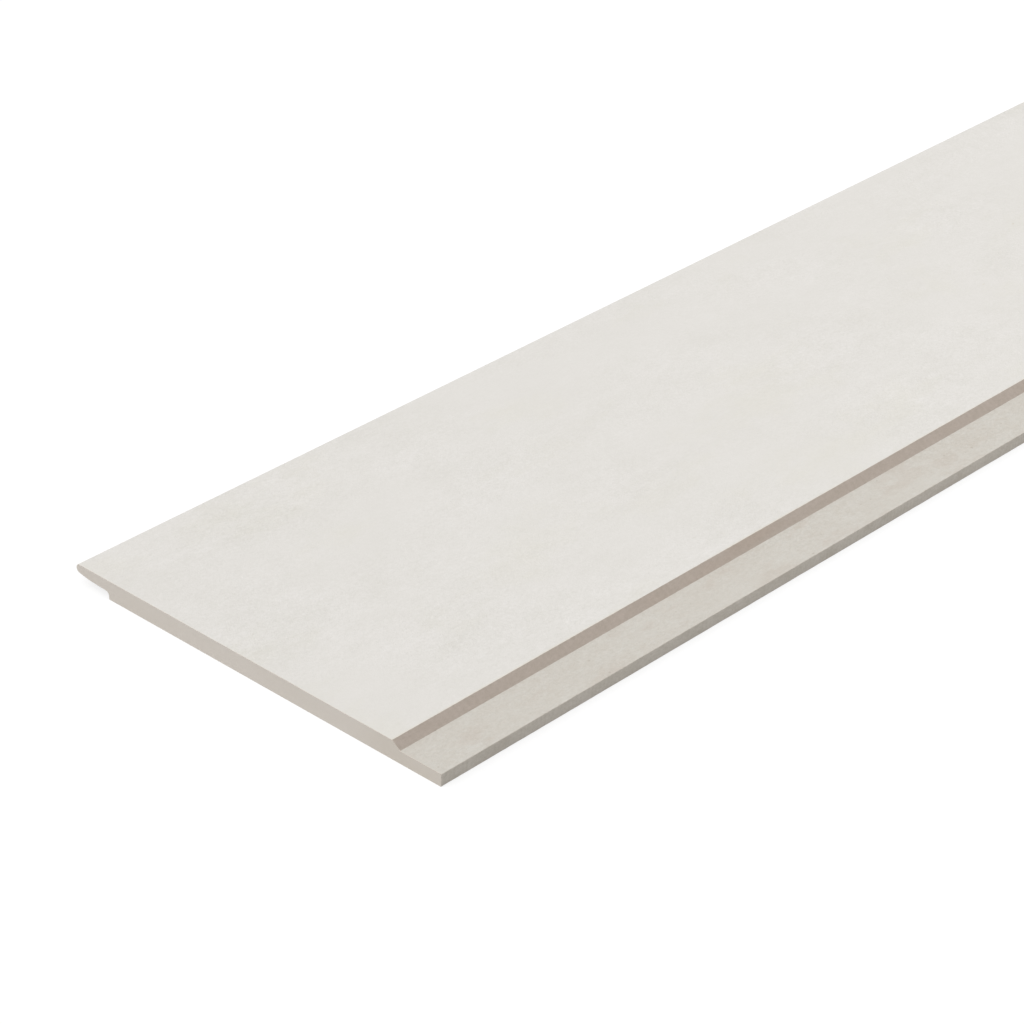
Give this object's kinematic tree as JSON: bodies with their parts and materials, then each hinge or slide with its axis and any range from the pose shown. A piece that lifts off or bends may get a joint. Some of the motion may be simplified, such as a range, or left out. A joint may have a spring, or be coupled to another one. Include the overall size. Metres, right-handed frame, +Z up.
{
  "type": "fibre cement siding plank",
  "caption": "Wide flat fibre cement siding plank with a bevelled lap tongue along one long edge and an undercut lip with a rounded nose along the other.",
  "frame": {"origin": "middle of the board's box, on the plane of its back, as it lies on a floor", "axes": "+X along the length, +Y across the width from the tongue tip to the nose, +Z up out of the face"},
  "size_m": [3, 0.33, 0.014],
  "materials": {
    "fibre_cement": "matt primed face over raw cement edges"
  },
  "bodies": {
    "root": {"siding_plank": "fibre_cement"}
  },
  "joints": []
}
